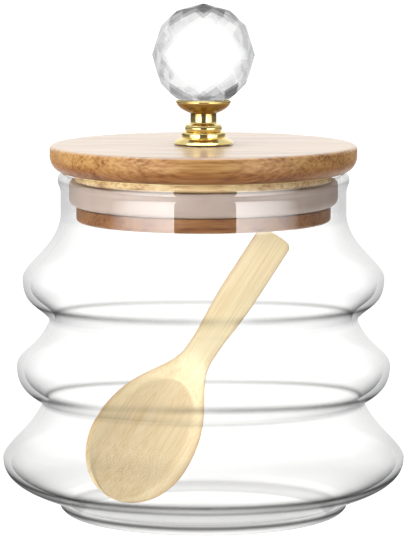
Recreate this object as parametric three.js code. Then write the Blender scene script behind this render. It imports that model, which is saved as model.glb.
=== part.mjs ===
// Storage jar of clear glass in three bell-shaped tiers, with a turned wooden lid and a wooden spoon inside.
// Millimetres, +Z up. The origin is the centre of the flat base the jar stands on, and +Y points to its back.
import * as THREE from "three";
import { ConvexGeometry } from "three/addons/geometries/ConvexGeometry.js";
import { mergeVertices } from "three/addons/utils/BufferGeometryUtils.js";

const GAP = 0.3; // air left between two pieces that rest on each other
const STEPS = 6; // pieces a long curve is drawn with
const SHORT_STEPS = 2;

// Glass jar: foot, tiers and neck
const BASE_RADIUS = 40.5; // flat face that stands on the table
const FOOT_RADIUS = 47;
const FOOT_HEIGHT = 4.2;
const FOOT_FILLET = 0.9;
const TIERS = [
  // from the foot up: widest ring, the curve under it, the curve over it, and the waist it ends in
  { lip: [65.4, 19], under: [64.6, 8.4, 8.2], over: [25.2, 8.8, 3.3], waist: [52.2, 37.3] },
  { lip: [60.8, 49], under: [58.4, 4.6, 6.2], over: [24, 9.9, 4.4], waist: [49.8, 64.5] },
  { lip: [58.8, 77.7], under: [44.7, 5.9, 7.7], over: [0, 10.4, 4.6], waist: [46.4, 98.9] },
];
const WAIST_BEND = 1.6; // how far the rounded bottom of a waist reaches to each side of it
const NECK_RADIUS = 46.4;
const RIM_RADIUS = 47.3;
const RIM_TOP = 111.9;
const RIM_BEAD = 2.1; // height of the rounded bead at the mouth, above and below its middle
const WALL = 2.2;
const FLOOR_WALL = 3;
const FLOOR_BLEND = 9; // height over the base where the thicker floor has thinned to the wall
const JAR_STEPS = 5; // pieces a long curve of the jar is drawn with
const JAR_AROUND = 32;

// Wooden lid: a disc, and under it a plug with a groove for the seal
const LID_BOTTOM = 112.1; // flat inside the mouth; from there the curl rises over the rim
const LID_TOP = 121;
const LID_RADIUS = 49.8;
const LID_EDGE = 1.3; // rounding of the top edge
const LID_CURL = [5.4, 5.3]; // rounding of the lower edge, inwards and upwards
const PLUG_RADIUS = 41.8;
const PLUG_BOTTOM = 96.3;
const PLUG_EDGE = 1;
const FLANGE_RADIUS = 41.3;
const GROOVE_RADIUS = 39.4;
const GROOVE_TOP = 109.4;
const GROOVE_BOTTOM = 100.9;
const LID_AROUND = 42;

// Soft seal in the groove
const SEAL_LIP_RADIUS = 43.6;
const SEAL_FOOT_RADIUS = 41.2;
const SEAL_SHOULDER = 104.2; // height where the seal is at its widest
const SEAL_EDGE = 0.6;

// Brass mount of the knob, heights over the lid
const MOUNT_FLANGE = [9.75, 2.5]; // radius at the lid, and height of the bell-shaped foot
const FLANGE_BULGE = [9, 1.6]; // the curve of the foot is drawn towards here
const FLANGE_EDGE = 0.3;
const MOUNT_STEP = [7.1, 4.2]; // radius and top
const MOUNT_BEAD = [6, 6.6]; // radius and top
const MOUNT_ROUND = 0.6; // rounding of the step and of the bead
const MOUNT_NECK = [4.2, 7.6]; // radius, and height where the fillet over the bead ends
const MOUNT_CUP = [8.95, 10.2, 14.6]; // radius, bottom and top
const CUP_BULGE = [8.6, 11.8];
const CUP_EDGE = 0.5;
const MOUNT_AROUND = 28;

// Cut crystal ball
const BALL_RADIUS = 16.6;
const BALL_SIDES = 10;
const BALL_ROWS = 5;

// Wooden spoon, lying from the floor to the back of the shoulder
const SPOON_TIP = new THREE.Vector3(-31.6, -1, 5.8);
const SPOON_END = new THREE.Vector3(24.3, 41.5, 86.6);
const SPOON_FACE = new THREE.Vector3(0, -1, 0.12); // the hollow of the bowl looks this way
const HANDLE_HALF = 6.2;
const HANDLE_STRAIGHT = 22;
const HANDLE_CORNER = 2.2;
const SPOON_NECK = [48.5, 4.9];
const BOWL_HALF = 17.1;
const BOWL_END = 21; // from the widest place of the bowl to its tip
const BOWL_PULL = [12.4, 21.5]; // how long the outline stays narrow, and how early it is wide
const BOWL_DEPTH = 5.5;
const SPOON_THICK = 2.8;
const BOWL_THICK = 2.2;
const SPOON_FLATNESS = 0.5; // below 1 the two faces are flat and the edge is round
const SPOON_AROUND = 16;

const part = new THREE.Group();

function piece(name, geometry, color, roughness, metalness) {
  const mesh = new THREE.Mesh(geometry, new THREE.MeshStandardMaterial({ color, roughness, metalness }));
  mesh.name = name;
  part.add(mesh);
  return mesh;
}

// A section of radius and height pairs, turned round the upright axis.
function turned(section, around) {
  const geometry = new THREE.LatheGeometry(section, around);
  geometry.deleteAttribute("normal");
  geometry.deleteAttribute("uv");
  geometry.rotateX(Math.PI / 2);
  return mergeVertices(geometry, 1e-4);
}

function at(r, z) {
  return new THREE.Vector2(r, z);
}

// Adds the points of a curve to a section, without the first where the section already ends there.
function trace(section, curve, steps) {
  const points = curve.getPoints(steps);
  const joined = section.length > 0 && section.at(-1).distanceTo(points[0]) < 1e-6;
  section.push(...(joined ? points.slice(1) : points));
}

// Adds a curve from the end of a section to a new end, drawn towards a point between them.
function bend(section, towards, end, steps) {
  trace(section, new THREE.QuadraticBezierCurve(section.at(-1), towards, end), steps);
}

function arc(r, z, width, height, fromDegrees, toDegrees) {
  const from = THREE.MathUtils.degToRad(fromDegrees);
  const to = THREE.MathUtils.degToRad(toDegrees);
  return new THREE.EllipseCurve(r, z, width, height, from, to, toDegrees < fromDegrees, 0);
}

// Outer face of the jar, from the edge of the flat base to the middle of the rim bead.
function jarOutside() {
  const section = [];
  trace(section, arc(BASE_RADIUS, FOOT_HEIGHT, FOOT_RADIUS - BASE_RADIUS, FOOT_HEIGHT, -90, 0), 4);
  let start = at(FOOT_RADIUS + FOOT_FILLET, FOOT_HEIGHT + FOOT_FILLET);
  const crease = at(FOOT_RADIUS, FOOT_HEIGHT + FOOT_FILLET / 2);
  bend(section, crease, start, SHORT_STEPS);
  TIERS.forEach((tier, i) => {
    const lip = at(...tier.lip);
    const [underAngle, underPull, lipDrop] = tier.under;
    const out = at(0, 1).rotateAround(at(0, 0), -THREE.MathUtils.degToRad(underAngle));
    const below = start.clone().addScaledVector(out, underPull);
    trace(section, new THREE.CubicBezierCurve(start, below, at(lip.x, lip.y - lipDrop), lip), JAR_STEPS);
    const [overAngle, overPull, lipRise] = tier.over;
    const back = at(0, -1).rotateAround(at(0, 0), THREE.MathUtils.degToRad(overAngle));
    const waist = at(...tier.waist);
    const last = i === TIERS.length - 1;
    const end = last ? waist : waist.clone().addScaledVector(back, WAIST_BEND);
    const above = end.clone().addScaledVector(back, overPull);
    trace(section, new THREE.CubicBezierCurve(lip, at(lip.x, lip.y + lipRise), above, end), JAR_STEPS);
    if (last) return;
    const next = THREE.MathUtils.degToRad(TIERS[i + 1].under[0]);
    start = waist.clone().addScaledVector(at(Math.sin(next), Math.cos(next)), WAIST_BEND);
    bend(section, waist, start, SHORT_STEPS);
  });
  const bead = RIM_TOP - RIM_BEAD;
  section.push(at(NECK_RADIUS, bead - 2 * RIM_BEAD));
  trace(section, arc(NECK_RADIUS, bead, RIM_RADIUS - NECK_RADIUS, RIM_BEAD, -90, 0), SHORT_STEPS);
  return section;
}

// The same face moved into the glass by the wall's thickness, which grows towards the floor.
function jarInside(outside) {
  return outside.map((p, i) => {
    const along = outside[Math.min(i + 1, outside.length - 1)].clone().sub(outside[Math.max(i - 1, 0)]);
    const inward = at(-along.y, along.x).normalize();
    const thin = THREE.MathUtils.smoothstep(p.y, 0, FLOOR_BLEND);
    return p.clone().addScaledVector(inward, THREE.MathUtils.lerp(FLOOR_WALL, WALL, thin));
  });
}

function jarSection() {
  const outside = jarOutside();
  const mouth = NECK_RADIUS - WALL;
  const inside = jarInside(outside).filter((p) => p.y > FLOOR_WALL && p.y < TIERS.at(-1).waist[1]);
  const section = [at(0, 0), ...outside];
  const bead = RIM_TOP - RIM_BEAD;
  const half = (RIM_RADIUS - mouth) / 2;
  trace(section, arc(mouth + half, bead, half, RIM_BEAD, 0, 180), JAR_STEPS);
  section.push(at(mouth, TIERS.at(-1).waist[1]));
  section.push(...inside.reverse());
  section.push(at(inside.at(-1).x - FLOOR_WALL, FLOOR_WALL));
  section.push(at(0, FLOOR_WALL));
  return section;
}
piece("glass_jar", turned(jarSection(), JAR_AROUND), 0xeef4f2, 0.05, 0);

// Lid
function lidSection() {
  const section = [at(0, PLUG_BOTTOM), at(FLANGE_RADIUS - PLUG_EDGE, PLUG_BOTTOM)];
  trace(section, arc(FLANGE_RADIUS - PLUG_EDGE, PLUG_BOTTOM + PLUG_EDGE, PLUG_EDGE, PLUG_EDGE, -90, 0), 3);
  section.push(at(FLANGE_RADIUS, GROOVE_BOTTOM));
  section.push(at(GROOVE_RADIUS, GROOVE_BOTTOM));
  section.push(at(GROOVE_RADIUS, GROOVE_TOP));
  section.push(at(PLUG_RADIUS, GROOVE_TOP));
  section.push(at(PLUG_RADIUS, LID_BOTTOM));
  const [curlIn, curlUp] = LID_CURL;
  trace(section, arc(LID_RADIUS - curlIn, LID_BOTTOM + curlUp, curlIn, curlUp, -90, 0), STEPS);
  trace(section, arc(LID_RADIUS - LID_EDGE, LID_TOP - LID_EDGE, LID_EDGE, LID_EDGE, 0, 90), 3);
  section.push(at(0, LID_TOP));
  return section;
}
piece("lid", turned(lidSection(), LID_AROUND), 0xb98a57, 0.4, 0);

// Seal
function sealSection() {
  const inner = GROOVE_RADIUS + GAP;
  const top = GROOVE_TOP - GAP;
  const bottom = GROOVE_BOTTOM + GAP;
  const section = [at(inner, bottom), at(SEAL_FOOT_RADIUS, bottom)];
  const bulge = at(SEAL_LIP_RADIUS, bottom + SEAL_EDGE);
  bend(section, bulge, at(SEAL_LIP_RADIUS, SEAL_SHOULDER), 4);
  trace(section, arc(SEAL_LIP_RADIUS - SEAL_EDGE, top - SEAL_EDGE, SEAL_EDGE, SEAL_EDGE, 0, 90), SHORT_STEPS);
  section.push(at(inner, top));
  section.push(at(inner, bottom));
  return section;
}
piece("seal", turned(sealSection(), LID_AROUND), 0xded6d2, 0.45, 0);

// Mount of the knob: bell-shaped foot, step, bead, neck and the cup the ball stands on
function mountSection() {
  const [flange, flangeTop] = MOUNT_FLANGE;
  const [step, stepTop] = MOUNT_STEP;
  const [bead, beadTop] = MOUNT_BEAD;
  const [neck, neckBottom] = MOUNT_NECK;
  const [cup, cupBottom, cupTop] = MOUNT_CUP;
  const section = [at(0, GAP), at(flange - FLANGE_EDGE, GAP), at(flange, GAP + FLANGE_EDGE)];
  bend(section, at(...FLANGE_BULGE), at(step, flangeTop), STEPS);
  trace(section, arc(step - MOUNT_ROUND, stepTop - MOUNT_ROUND, MOUNT_ROUND, MOUNT_ROUND, 0, 90), 3);
  const half = (beadTop - stepTop) / 2;
  trace(section, arc(bead - MOUNT_ROUND, stepTop + half, MOUNT_ROUND, half, -90, 90), STEPS);
  bend(section, at(neck, beadTop), at(neck, neckBottom), 3);
  section.push(at(neck, cupBottom));
  bend(section, at(...CUP_BULGE), at(cup, cupTop - CUP_EDGE), 5);
  trace(section, arc(cup - CUP_EDGE, cupTop - CUP_EDGE, CUP_EDGE, CUP_EDGE, 0, 90), 3);
  section.push(at(0, cupTop));
  return section.map((p) => at(p.x, p.y + LID_TOP));
}
piece("knob_mount", turned(mountSection(), MOUNT_AROUND), 0xc9a24b, 0.18, 1);

// Ball: every corner lies on the sphere. The rows start at the equator. Each next row lies where the flat of the
// facet below it, drawn on from the row before last past the middle of the last row's edge, leaves the sphere.
// The lowest row is the edge of the flat underneath, which stands on the mount.
function ballCorners() {
  const half = Math.PI / BALL_SIDES;
  const rows = [at(BALL_RADIUS, 0), at(Math.cos(half), Math.sin(half)).multiplyScalar(BALL_RADIUS)];
  while (rows.length < BALL_ROWS) {
    const from = rows.at(-2);
    const along = at(rows.at(-1).x * Math.cos(half), rows.at(-1).y).sub(from);
    rows.push(from.clone().addScaledVector(along, (-2 * from.dot(along)) / along.lengthSq()));
  }
  const centre = LID_TOP + MOUNT_CUP[2] + GAP + rows.at(-1).y;
  const corners = [new THREE.Vector3(0, 0, centre + BALL_RADIUS)];
  rows.forEach((row, i) => {
    for (let k = 0; k < BALL_SIDES; k++) {
      const turn = (2 * k + (i % 2)) * half;
      for (const height of i > 0 ? [row.y, -row.y] : [0]) {
        corners.push(new THREE.Vector3(Math.cos(turn) * row.x, Math.sin(turn) * row.x, centre + height));
      }
    }
  });
  return corners;
}
const ball = new ConvexGeometry(ballCorners());
ball.deleteAttribute("normal");
piece("knob_crystal", mergeVertices(ball, 1e-4), 0xf4f7f8, 0.02, 0);

// Outline of the spoon from the end of the handle: distance along it and half its width there.
function spoonOutline(length) {
  const [neckAt, neckHalf] = SPOON_NECK;
  const wide = length - BOWL_END;
  const outline = [];
  trace(outline, arc(HANDLE_CORNER, HANDLE_HALF - HANDLE_CORNER, HANDLE_CORNER, HANDLE_CORNER, 180, 90), 4);
  outline.push(at(HANDLE_STRAIGHT, HANDLE_HALF));
  const taper = (neckAt - HANDLE_STRAIGHT) / 2;
  const [lead, lag] = BOWL_PULL;
  const slim = [at(HANDLE_STRAIGHT + taper, HANDLE_HALF), at(neckAt - taper, neckHalf), at(neckAt, neckHalf)];
  trace(outline, new THREE.CubicBezierCurve(outline.at(-1), ...slim), STEPS);
  const swell = [at(neckAt + lead, neckHalf), at(wide - lag, BOWL_HALF), at(wide, BOWL_HALF)];
  trace(outline, new THREE.CubicBezierCurve(outline.at(-1), ...swell), STEPS);
  trace(outline, arc(wide, 0, BOWL_END, BOWL_HALF, 90, 0), STEPS);
  outline.pop();
  return outline;
}

// One cross-section of the spoon: a flat slab with a round edge, dished in the bowl.
function spoonRing(length, [along, half]) {
  const neckAt = SPOON_NECK[0];
  const bowl = THREE.MathUtils.clamp((along - neckAt) / (length - neckAt), 0, 1);
  const dish = BOWL_DEPTH * Math.sin(Math.PI * Math.pow(bowl, 0.85));
  const edge = Math.min(1, half / HANDLE_HALF);
  const thick = THREE.MathUtils.lerp(SPOON_THICK, BOWL_THICK, Math.min(1, 2 * bowl)) * edge;
  const ring = [];
  for (let k = 0; k < SPOON_AROUND; k++) {
    const turn = (2 * Math.PI * k) / SPOON_AROUND;
    const across = Math.cos(turn);
    const lift = Math.sign(Math.sin(turn)) * Math.pow(Math.abs(Math.sin(turn)), SPOON_FLATNESS);
    ring.push(new THREE.Vector3(across * half, along, (thick / 2) * lift - dish * (1 - across * across)));
  }
  return ring;
}

function middle(ring) {
  return ring.reduce((sum, p) => sum.add(p), new THREE.Vector3()).divideScalar(ring.length);
}

function spoonGeometry(length) {
  const rings = spoonOutline(length).map((p) => spoonRing(length, [p.x, p.y]));
  const points = [...rings.flat(), middle(rings[0]), middle(rings.at(-1))];
  const index = [];
  const n = SPOON_AROUND;
  const lastRing = (rings.length - 1) * n;
  for (let k = 0; k < n; k++) {
    const next = (k + 1) % n;
    for (let r = 0; r < lastRing; r += n) {
      index.push(r + k, r + n + k, r + next);
      index.push(r + next, r + n + k, r + n + next);
    }
    index.push(points.length - 2, k, next);
    index.push(points.length - 1, lastRing + next, lastRing + k);
  }
  return new THREE.BufferGeometry().setFromPoints(points).setIndex(index);
}
const lean = new THREE.Vector3().subVectors(SPOON_TIP, SPOON_END);
const along = lean.clone().normalize();
const face = SPOON_FACE.clone().addScaledVector(along, -SPOON_FACE.dot(along)).normalize();
const across = new THREE.Vector3().crossVectors(along, face);
const spoon = piece("spoon", spoonGeometry(lean.length()), 0xdcc598, 0.6, 0);
spoon.applyMatrix4(new THREE.Matrix4().makeBasis(across, along, face).setPosition(SPOON_END));

export default part;
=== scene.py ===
# %% [markdown]
# # A tiered glass jar with a bamboo lid, a crystal knob and a spoon
#
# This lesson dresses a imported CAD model. The jar, its lid, seal and knob are all turned round one upright axis,
# so most of the work is drawing good sections. The spoon is a surface over two parameters of its own.
# Sections are written in millimetres, as a maker would draw them, and become metres when a mesh is made.

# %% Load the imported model
import math

import bpy
import numpy as np
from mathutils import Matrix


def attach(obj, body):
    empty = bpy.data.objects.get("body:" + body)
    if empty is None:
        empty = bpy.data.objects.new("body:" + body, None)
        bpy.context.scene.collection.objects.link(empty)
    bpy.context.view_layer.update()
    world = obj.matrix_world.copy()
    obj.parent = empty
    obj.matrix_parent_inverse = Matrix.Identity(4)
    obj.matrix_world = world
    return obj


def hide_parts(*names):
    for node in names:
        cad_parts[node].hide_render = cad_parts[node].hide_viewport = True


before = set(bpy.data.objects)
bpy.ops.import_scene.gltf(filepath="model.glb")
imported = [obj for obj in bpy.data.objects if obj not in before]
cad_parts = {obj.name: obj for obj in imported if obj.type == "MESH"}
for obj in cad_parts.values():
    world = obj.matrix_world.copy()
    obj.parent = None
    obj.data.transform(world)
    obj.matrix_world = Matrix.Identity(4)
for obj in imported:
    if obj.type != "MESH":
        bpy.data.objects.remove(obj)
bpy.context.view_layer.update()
scene = bpy.context.scene
MM = 0.001
print("nodes of the packed model:", sorted(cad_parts))

# %% [markdown]
# ## The camera
#
# The picture was taken with a long lens from a little over a metre away, slightly above the lid. The ellipses of
# the lid and the foot give the height and the tilt. A long lens keeps the two ends of the jar nearly the same
# size, which is why the focal length is large. The object stands a hair left of the middle of the frame, so the
# camera stands a millimetre to the right.

# %% Camera
SENSOR_HEIGHT, FOCAL_LENGTH = 36.0, 268.4
CAMERA_PLACE, CAMERA_TILT = (0.00114, -1.3, 0.23436), 6.769
camera_lens = bpy.data.cameras.new("long_lens")
camera_lens.sensor_fit = "VERTICAL"
camera_lens.sensor_height = SENSOR_HEIGHT
camera_lens.lens = FOCAL_LENGTH
camera = bpy.data.objects.new("camera", camera_lens)
camera.location = CAMERA_PLACE
camera.rotation_euler = (math.radians(90 - CAMERA_TILT), 0, 0)
scene.collection.objects.link(camera)
scene.camera = camera
print("camera at", tuple(round(v, 3) for v in camera.location))

# %% [markdown]
# ## Drawing a section
#
# A glass blower's mould or a wood turner's template is a flat outline. Three kinds of line are enough to draw one:
# a cubic curve for the long sweeps, a soft corner where two lines meet, and an arc. Each gives rows of
# (radius, height). Joining them drops the points that two neighbours share. A curve object with handles could hold
# the same outline, but here every number of it has a name and can be changed on its own.

# %% Lines of a section
SAME_POINT = 1e-5


def sweep(start, pull_out, pull_in, end, steps):
    """Cubic curve: the four points weighted by (1-t)^3, 3t(1-t)^2, 3t^2(1-t) and t^3."""
    t = np.linspace(0, 1, steps + 1)[:, None]
    points = np.array([start, pull_out, pull_in, end], float)
    weights = np.hstack([(1 - t) ** 3, 3 * t * (1 - t) ** 2, 3 * t**2 * (1 - t), t**3])
    return weights @ points


def soft_corner(start, corner, end, steps):
    """Quadratic curve: start, corner and end weighted by (1-t)^2, 2t(1-t) and t^2."""
    t = np.linspace(0, 1, steps + 1)[:, None]
    return np.hstack([(1 - t) ** 2, 2 * t * (1 - t), t**2]) @ np.array([start, corner, end], float)


def arc(centre, radii, start, end, steps):
    """Ellipse arc: centre plus radii times (cos, sin) of an angle that runs from start to end, in degrees."""
    turn = np.radians(np.linspace(start, end, steps + 1))[:, None]
    return np.array(centre, float) + np.array(radii, float) * np.hstack([np.cos(turn), np.sin(turn)])


def joined(*lines):
    """All lines one after the other, without a point that lies where the one before it lies."""
    rows = np.vstack([np.atleast_2d(np.asarray(line, float)) for line in lines])
    moved = np.linalg.norm(np.diff(rows, axis=0), axis=1) > SAME_POINT
    return rows[np.concatenate([[True], moved])]


print("a quarter circle in four steps:", arc((0, 0), (1, 1), 0, 90, 4).round(2).tolist())

# %% [markdown]
# ## Turning a section
#
# A screw modifier could spin the outline, but it leaves a seam and may turn the shape inside out. Working out the
# points directly is just as short: every row of the section becomes a ring, and neighbouring rings share faces.
# A section that runs from the bottom, outwards and up has its faces pointing out.

# %% Mesh of a turned section
def turned(section, around):
    """Carry (radius, height) round the axis: x = radius cos(turn), y = radius sin(turn), z = height.

    A section with both ends on the axis is closed by a point with a fan of triangles at each end.
    Any other section is a loop, and its last row joins the first.
    """
    turn = np.linspace(0, 2 * np.pi, around, endpoint=False)
    poles = section[0, 0] < SAME_POINT
    rows = section[1:-1] if poles else section
    radius, height = rows[:, :1], rows[:, 1:]
    grid = np.stack([radius * np.cos(turn), radius * np.sin(turn), height + 0 * turn], axis=-1)
    number = np.arange(len(rows) * around).reshape(len(rows), around)
    here, above = (number[:-1], number[1:]) if poles else (number, np.roll(number, -1, axis=0))
    quads = np.stack([here, np.roll(here, -1, 1), np.roll(above, -1, 1), above], axis=-1).reshape(-1, 4)
    points, faces = grid.reshape(-1, 3), quads.tolist()
    if poles:
        ends = [[0, 0, section[0, 1]], [0, 0, section[-1, 1]]]
        low = np.stack([np.full(around, len(points)), np.roll(number[0], -1), number[0]], axis=-1)
        high = np.stack([np.full(around, len(points) + 1), number[-1], np.roll(number[-1], -1)], axis=-1)
        points, faces = np.vstack([points, ends]), faces + low.tolist() + high.tolist()
    return points, faces


def new_piece(name, points, faces, node, finish_slot, crease=None):
    """Make a mesh of points in millimetres that rides on the jar's body and stands for a CAD node.

    Faces are shaded smooth, but stay sharp where they meet at more than crease degrees.
    """
    mesh = bpy.data.meshes.new(name)
    mesh.from_pydata((points * MM).tolist(), [], faces)
    mesh.polygons.foreach_set("use_smooth", np.full(len(mesh.polygons), crease != 0))
    if crease:
        mesh.set_sharp_from_angle(angle=math.radians(crease))
    piece = bpy.data.objects.new(name, mesh)
    scene.collection.objects.link(piece)
    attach(piece, "root")
    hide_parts(node)
    mesh.calc_loop_triangles()
    size = np.ptp(points, axis=0)
    print(f"{name}: {len(mesh.loop_triangles)} triangles, {size[0]:.1f} x {size[1]:.1f} x {size[2]:.1f} mm")
    return piece


print("a double cone with eight sides:", len(turned(np.array([[0, 0], [1, 1], [0, 2]]), 8)[1]), "faces")

# %% [markdown]
# ## The outside of the jar
#
# The jar is blown into a mould with three bell-shaped tiers. Each tier is described by its widest ring, by how the
# glass comes up to that ring from below, and by how it falls away above it to the next waist. The waists are
# tight, but glass is never truly sharp, so each is a soft corner. The foot is a flattened ring that rolls under.

# %% Section of the outside
BASE_RADIUS, FOOT_RADIUS, FOOT_HEIGHT, FOOT_FILLET = 40.5, 47.0, 4.2, 0.9
TIERS = [
    # widest ring, then (angle, pull, drop) below it, (angle, pull, rise) above it, and the waist
    ((65.4, 19.0), (64.6, 8.4, 8.2), (25.2, 8.8, 3.3), (52.2, 37.3)),
    ((60.8, 49.0), (58.4, 4.6, 6.2), (24.0, 9.9, 4.4), (49.8, 64.5)),
    ((58.8, 77.7), (44.7, 5.9, 7.7), (0.0, 10.4, 4.6), (46.4, 98.9)),
]
WAIST_BEND = 1.6
NECK_RADIUS, RIM_RADIUS, RIM_TOP, RIM_BEAD, RIM_PULL = 46.4, 47.3, 111.9, 2.1, 0.9
FOOT_STEPS, FILLET_STEPS, TIER_STEPS, WAIST_STEPS, NECK_STEPS = 14, 6, 32, 10, 10
rim_middle = RIM_TOP - RIM_BEAD


def upward(degrees):
    """Unit step that leans outwards from straight up by an angle: (sin, cos)."""
    return np.array([math.sin(math.radians(degrees)), math.cos(math.radians(degrees))])


def jar_outside():
    """Foot arc, then for each tier a sweep out to its ring and a sweep in to its waist, then neck and rim."""
    foot = arc((BASE_RADIUS, FOOT_HEIGHT), (FOOT_RADIUS - BASE_RADIUS, FOOT_HEIGHT), -90, 0, FOOT_STEPS)
    start = np.array([FOOT_RADIUS + FOOT_FILLET, FOOT_HEIGHT + FOOT_FILLET])
    fillet = soft_corner(foot[-1], (FOOT_RADIUS, FOOT_HEIGHT + FOOT_FILLET / 2), start, FILLET_STEPS)
    lines = [foot, fillet]
    for number, (ring, below, over, waist) in enumerate(TIERS):
        ring, waist = np.array(ring), np.array(waist)
        lines.append(sweep(start, start + upward(below[0]) * below[1], ring - (0, below[2]), ring, TIER_STEPS))
        back = upward(over[0]) * (1, -1)
        last = number == len(TIERS) - 1
        end = waist if last else waist + back * WAIST_BEND
        lines.append(sweep(ring, ring + (0, over[2]), end + back * over[1], end, TIER_STEPS))
        if not last:
            start = waist + upward(TIERS[number + 1][1][0]) * WAIST_BEND
            lines.append(soft_corner(end, waist, start, WAIST_STEPS))
    neck = (NECK_RADIUS, rim_middle - 2 * RIM_BEAD)
    pulls = (NECK_RADIUS, rim_middle - RIM_BEAD), (RIM_RADIUS, rim_middle - RIM_PULL * RIM_BEAD)
    lines.append(sweep(neck, *pulls, (RIM_RADIUS, rim_middle), NECK_STEPS))
    return joined(*lines)


outside = jar_outside()
print("outside of the jar:", len(outside), "rows, widest", outside[:, 0].max().round(1), "mm")

# %% [markdown]
# ## The inside of the jar
#
# The inner face of blown glass follows the outer one at the thickness of the wall, only softer. So the outside is
# moved inwards along its normal, spaced evenly, and averaged with its neighbours so that the tight places round
# off. A Solidify modifier would keep the inner waists as tight as the outer ones. The floor is a little thicker.
# Underneath, the base is slightly hollow, so the jar stands on a ring.

# %% Section of the inside, and the jar
WALL, FLOOR_WALL, FLOOR_BLEND = 2.2, 3.0, 9.0
INNER_SPACING, INNER_REACH = 0.6, 4
BASE_HOLLOW, BASE_RING, BASE_ROWS, LIP_STEPS = 0.8, 1.5, 12, 18
JAR_AROUND = 144


def smooth_step(value):
    """0 below 0, 1 above 1, and 3v^2 - 2v^3 between."""
    value = np.clip(value, 0, 1)
    return value * value * (3 - 2 * value)


def spaced(line, spacing):
    """The same line with points at an even distance along it."""
    length = np.concatenate([[0], np.cumsum(np.linalg.norm(np.diff(line, axis=0), axis=1))])
    at = np.linspace(0, length[-1], int(length[-1] / spacing) + 1)
    return np.stack([np.interp(at, length, line[:, 0]), np.interp(at, length, line[:, 1])], axis=-1)


def softened(line, reach):
    """Each point becomes a bell-weighted mean of its neighbours; the two ends stay where they are."""
    bell = np.hanning(2 * reach + 3)[1:-1]
    padded = np.vstack([np.repeat(line[:1], reach, 0), line, np.repeat(line[-1:], reach, 0)])
    mean = np.stack([np.convolve(padded[:, k], bell / bell.sum(), "valid") for k in (0, 1)], axis=-1)
    mean[[0, -1]] = line[[0, -1]]
    return mean


def jar_inside(face):
    """The outer face moved along its inward normal by the wall, from the floor up to the neck."""
    along = np.gradient(face, axis=0)
    inward = np.stack([-along[:, 1], along[:, 0]], axis=-1) / np.linalg.norm(along, axis=1)[:, None]
    wall = FLOOR_WALL + (WALL - FLOOR_WALL) * smooth_step(face[:, 1:] / FLOOR_BLEND)
    moved = face + inward * wall
    kept = moved[(moved[:, 1] > FLOOR_WALL) & (face[:, 1] < TIERS[-1][3][1])]
    floor_edge = [kept[0, 0] - FLOOR_WALL, FLOOR_WALL]
    mouth = [NECK_RADIUS - WALL, rim_middle]
    return softened(spaced(joined([floor_edge], kept, [mouth]), INNER_SPACING), INNER_REACH)


base_reach = np.linspace(0, BASE_RADIUS - BASE_RING, BASE_ROWS)
base = np.stack([base_reach, BASE_HOLLOW * (1 - (base_reach / base_reach[-1]) ** 2) ** 2], axis=-1)
lip_half = (RIM_RADIUS - NECK_RADIUS + WALL) / 2
lip = arc((RIM_RADIUS - lip_half, rim_middle), (lip_half, RIM_BEAD), 0, 180, LIP_STEPS)
inside = jar_inside(outside)
jar_section = joined(base, outside, lip, inside[::-1], [[0, FLOOR_WALL]])
jar = new_piece("blown_jar", *turned(jar_section, JAR_AROUND), "glass_jar", "jar_glass")

# %% [markdown]
# ## Where the glass looks dark
#
# Against a bright ground, clear glass is drawn by dark lines. They lie where the wall turns under: below the widest
# ring of each tier, at the foot, and, on the inner face, at the waists. They are stronger towards the sides, where
# more glass lies behind them, and weaker in front of the spoon. Three values are stored on every point of the jar
# for its finish: how dark a line is there, how much the face looks down, and how clear it stays when seen edge on.
# Real glass makes these lines by bending light. Drawing them on the mesh keeps the spoon behind them undistorted.

# %% Heights of the lines
# Of each line: its height, its rise in front and its lift at the far sides; the share of light that it lets through
# in front and at the sides; its half width in front and at the sides.
OUTER_LINES = (
    (109.6, 0.0, 0.0, 0.55, 0.60, 0.5, 0.5),
    (69.6, 0.8, 0.0, 0.34, 0.05, 1.5, 1.1),
    (64.5, 0.0, 0.0, 0.85, 0.85, 0.8, 0.8),
    (40.7, 2.2, 0.0, 0.16, 0.05, 1.5, 1.3),
    (37.3, 0.0, 0.0, 0.50, 0.60, 0.8, 0.8),
    (24.0, 0.0, 0.0, 0.78, 0.78, 3.5, 3.5),
    (12.5, 0.0, 3.2, 0.03, 0.002, 1.4, 2.3),
    (9.9, 0.0, 2.4, 0.25, 0.03, 0.9, 1.6),
    (3.2, 0.0, 0.0, 0.005, 0.0003, 2.0, 2.2),
)
INNER_LINES = (
    (65.3, -1.9, 0.0, 0.45, 0.20, 0.9, 0.9),
    (38.6, -2.7, 0.0, 0.42, 0.13, 0.9, 0.9),
    (3.4, -0.4, 0.0, 0.55, 0.50, 0.6, 0.6),
)
print("lines:", len(OUTER_LINES), "on the outer face,", len(INNER_LINES), "on the inner face")

# %% [markdown]
# A line is a soft band round the jar. It may run higher or lower in front than at the sides, so that it lies where
# the picture shows it, and it lifts late, only at the far sides, where the tier curls up. The spoon stands at one
# side low down and at another side higher up, so the weak place of a line follows from its height.

# %% Values on the points of the jar
LATE = 4
# At two heights: the turn at which the spoon is seen, and its half width as a turn. Then the share of its darkness
# that a line loses there, and the height below which no line loses any.
SPOON_HEIGHTS, SPOON_SIDES, SPOON_SPREADS = (42, 70), np.radians((246, 277)), np.radians((20, 6.5))
SPOON_SHARE, SPOON_FROM = 0.65, 30
# How much an outer face counts as looking down, and the heights over which that comes in.
OUTER_SHARE, UNDER_FROM, UNDER_FULL = 0.9, 5.0, 12.0


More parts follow.
